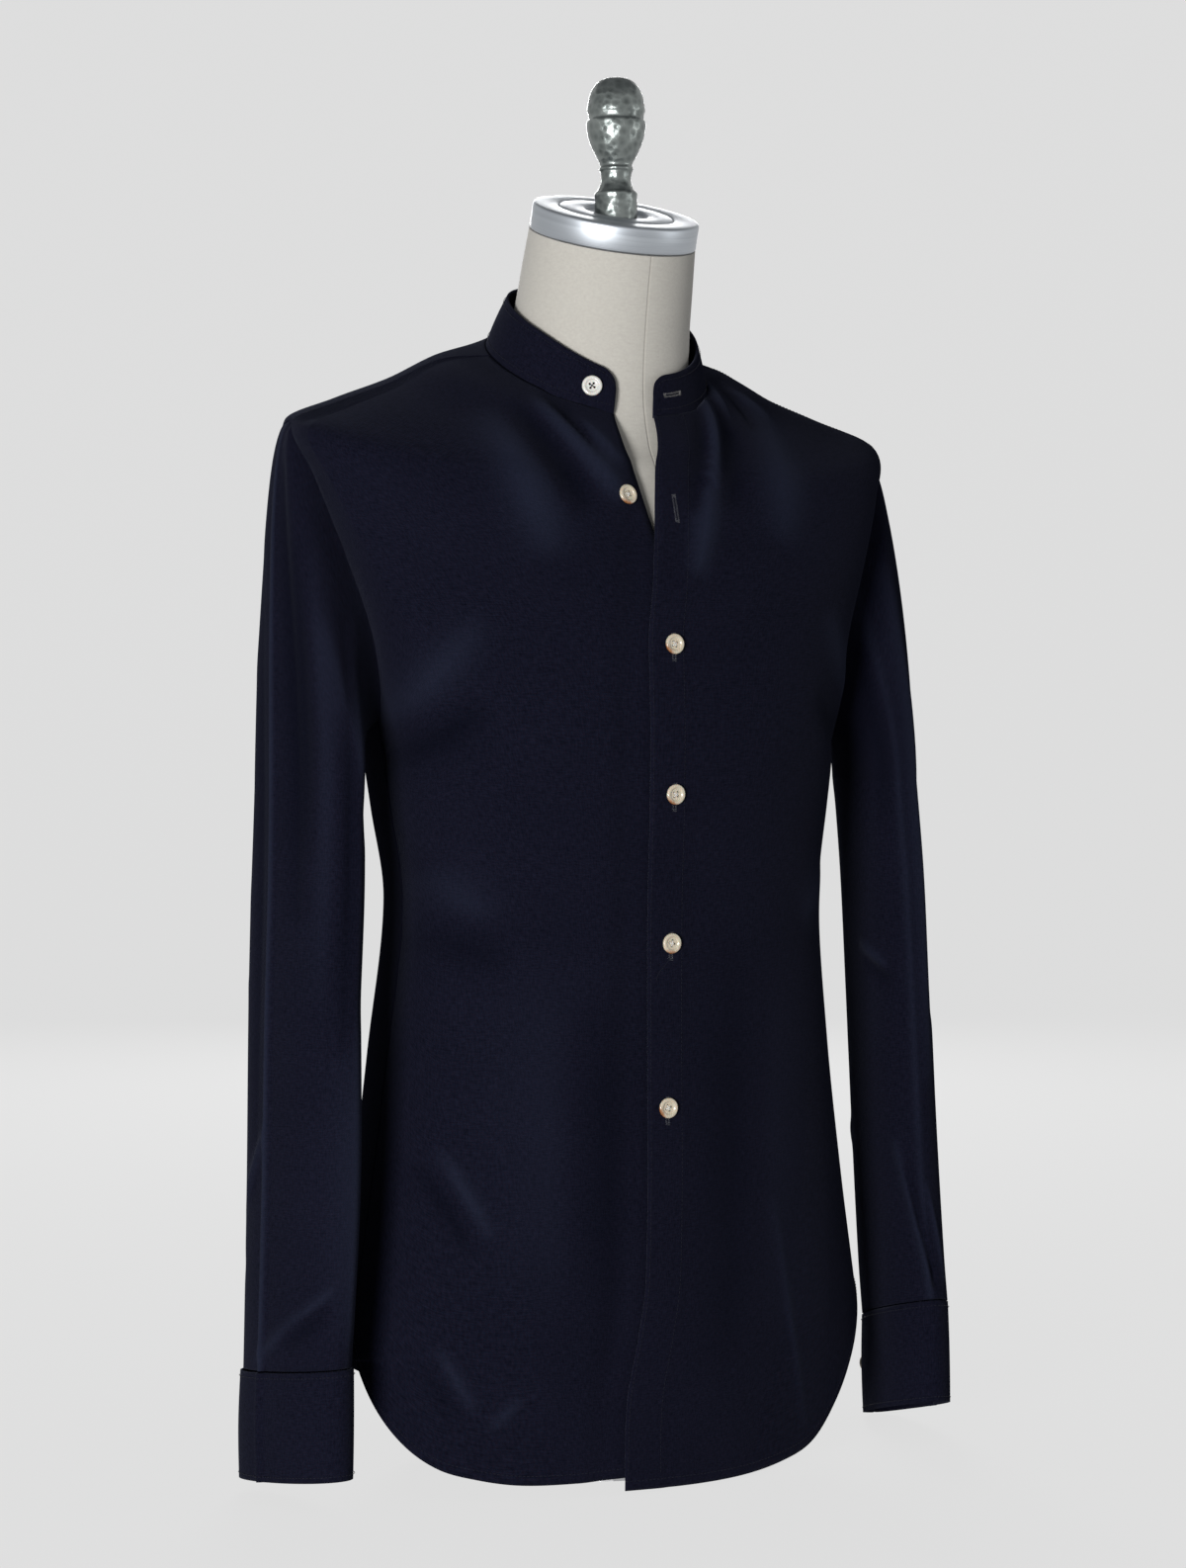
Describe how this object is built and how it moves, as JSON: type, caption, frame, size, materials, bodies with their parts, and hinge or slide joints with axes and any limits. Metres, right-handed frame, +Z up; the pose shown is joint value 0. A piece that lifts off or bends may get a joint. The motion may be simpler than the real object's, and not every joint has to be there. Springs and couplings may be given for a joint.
{
  "type": "mandarin collar shirt on a dress form",
  "caption": "Long-sleeved shirt with a mandarin collar, worn open at the neck on a limbless dress form with a finial and a round foot plate.",
  "frame": {"origin": "centre of the foot plate's underside, on the surface that the stand rests on", "axes": "+Z up along the column and the body; -Y is the way that the wearer faces; +X towards the wearer's left"},
  "size_m": [0.5122, 0.2289, 0.921],
  "materials": {
    "navy_plain_weave": "matt plain-weave cotton, soft sheen at grazing angles",
    "button_shell": "polished",
    "form_cover": "matt fine cotton cover, drawn tight",
    "neck_cap_aluminium": "brushed",
    "stand_steel": "satin"
  },
  "bodies": {
    "root": {"front_right": "navy_plain_weave", "front_left": "navy_plain_weave", "back": "navy_plain_weave", "yoke": "navy_plain_weave", "collar_band": "navy_plain_weave", "sleeve_right": "navy_plain_weave", "sleeve_left": "navy_plain_weave", "cuff_right": "navy_plain_weave", "cuff_left": "navy_plain_weave", "sleeve_placket_right": "navy_plain_weave", "sleeve_placket_left": "navy_plain_weave", "button_collar": "button_shell", "button_front_1": "button_shell", "button_front_2": "button_shell", "button_front_3": "button_shell", "button_front_4": "button_shell", "button_front_5": "button_shell", "button_cuff_right": "button_shell", "button_cuff_left": "button_shell", "form_torso": "form_cover", "neck_cap": "neck_cap_aluminium", "finial": "neck_cap_aluminium", "stand_foot": "stand_steel", "stand_column": "stand_steel"}
  },
  "joints": []
}
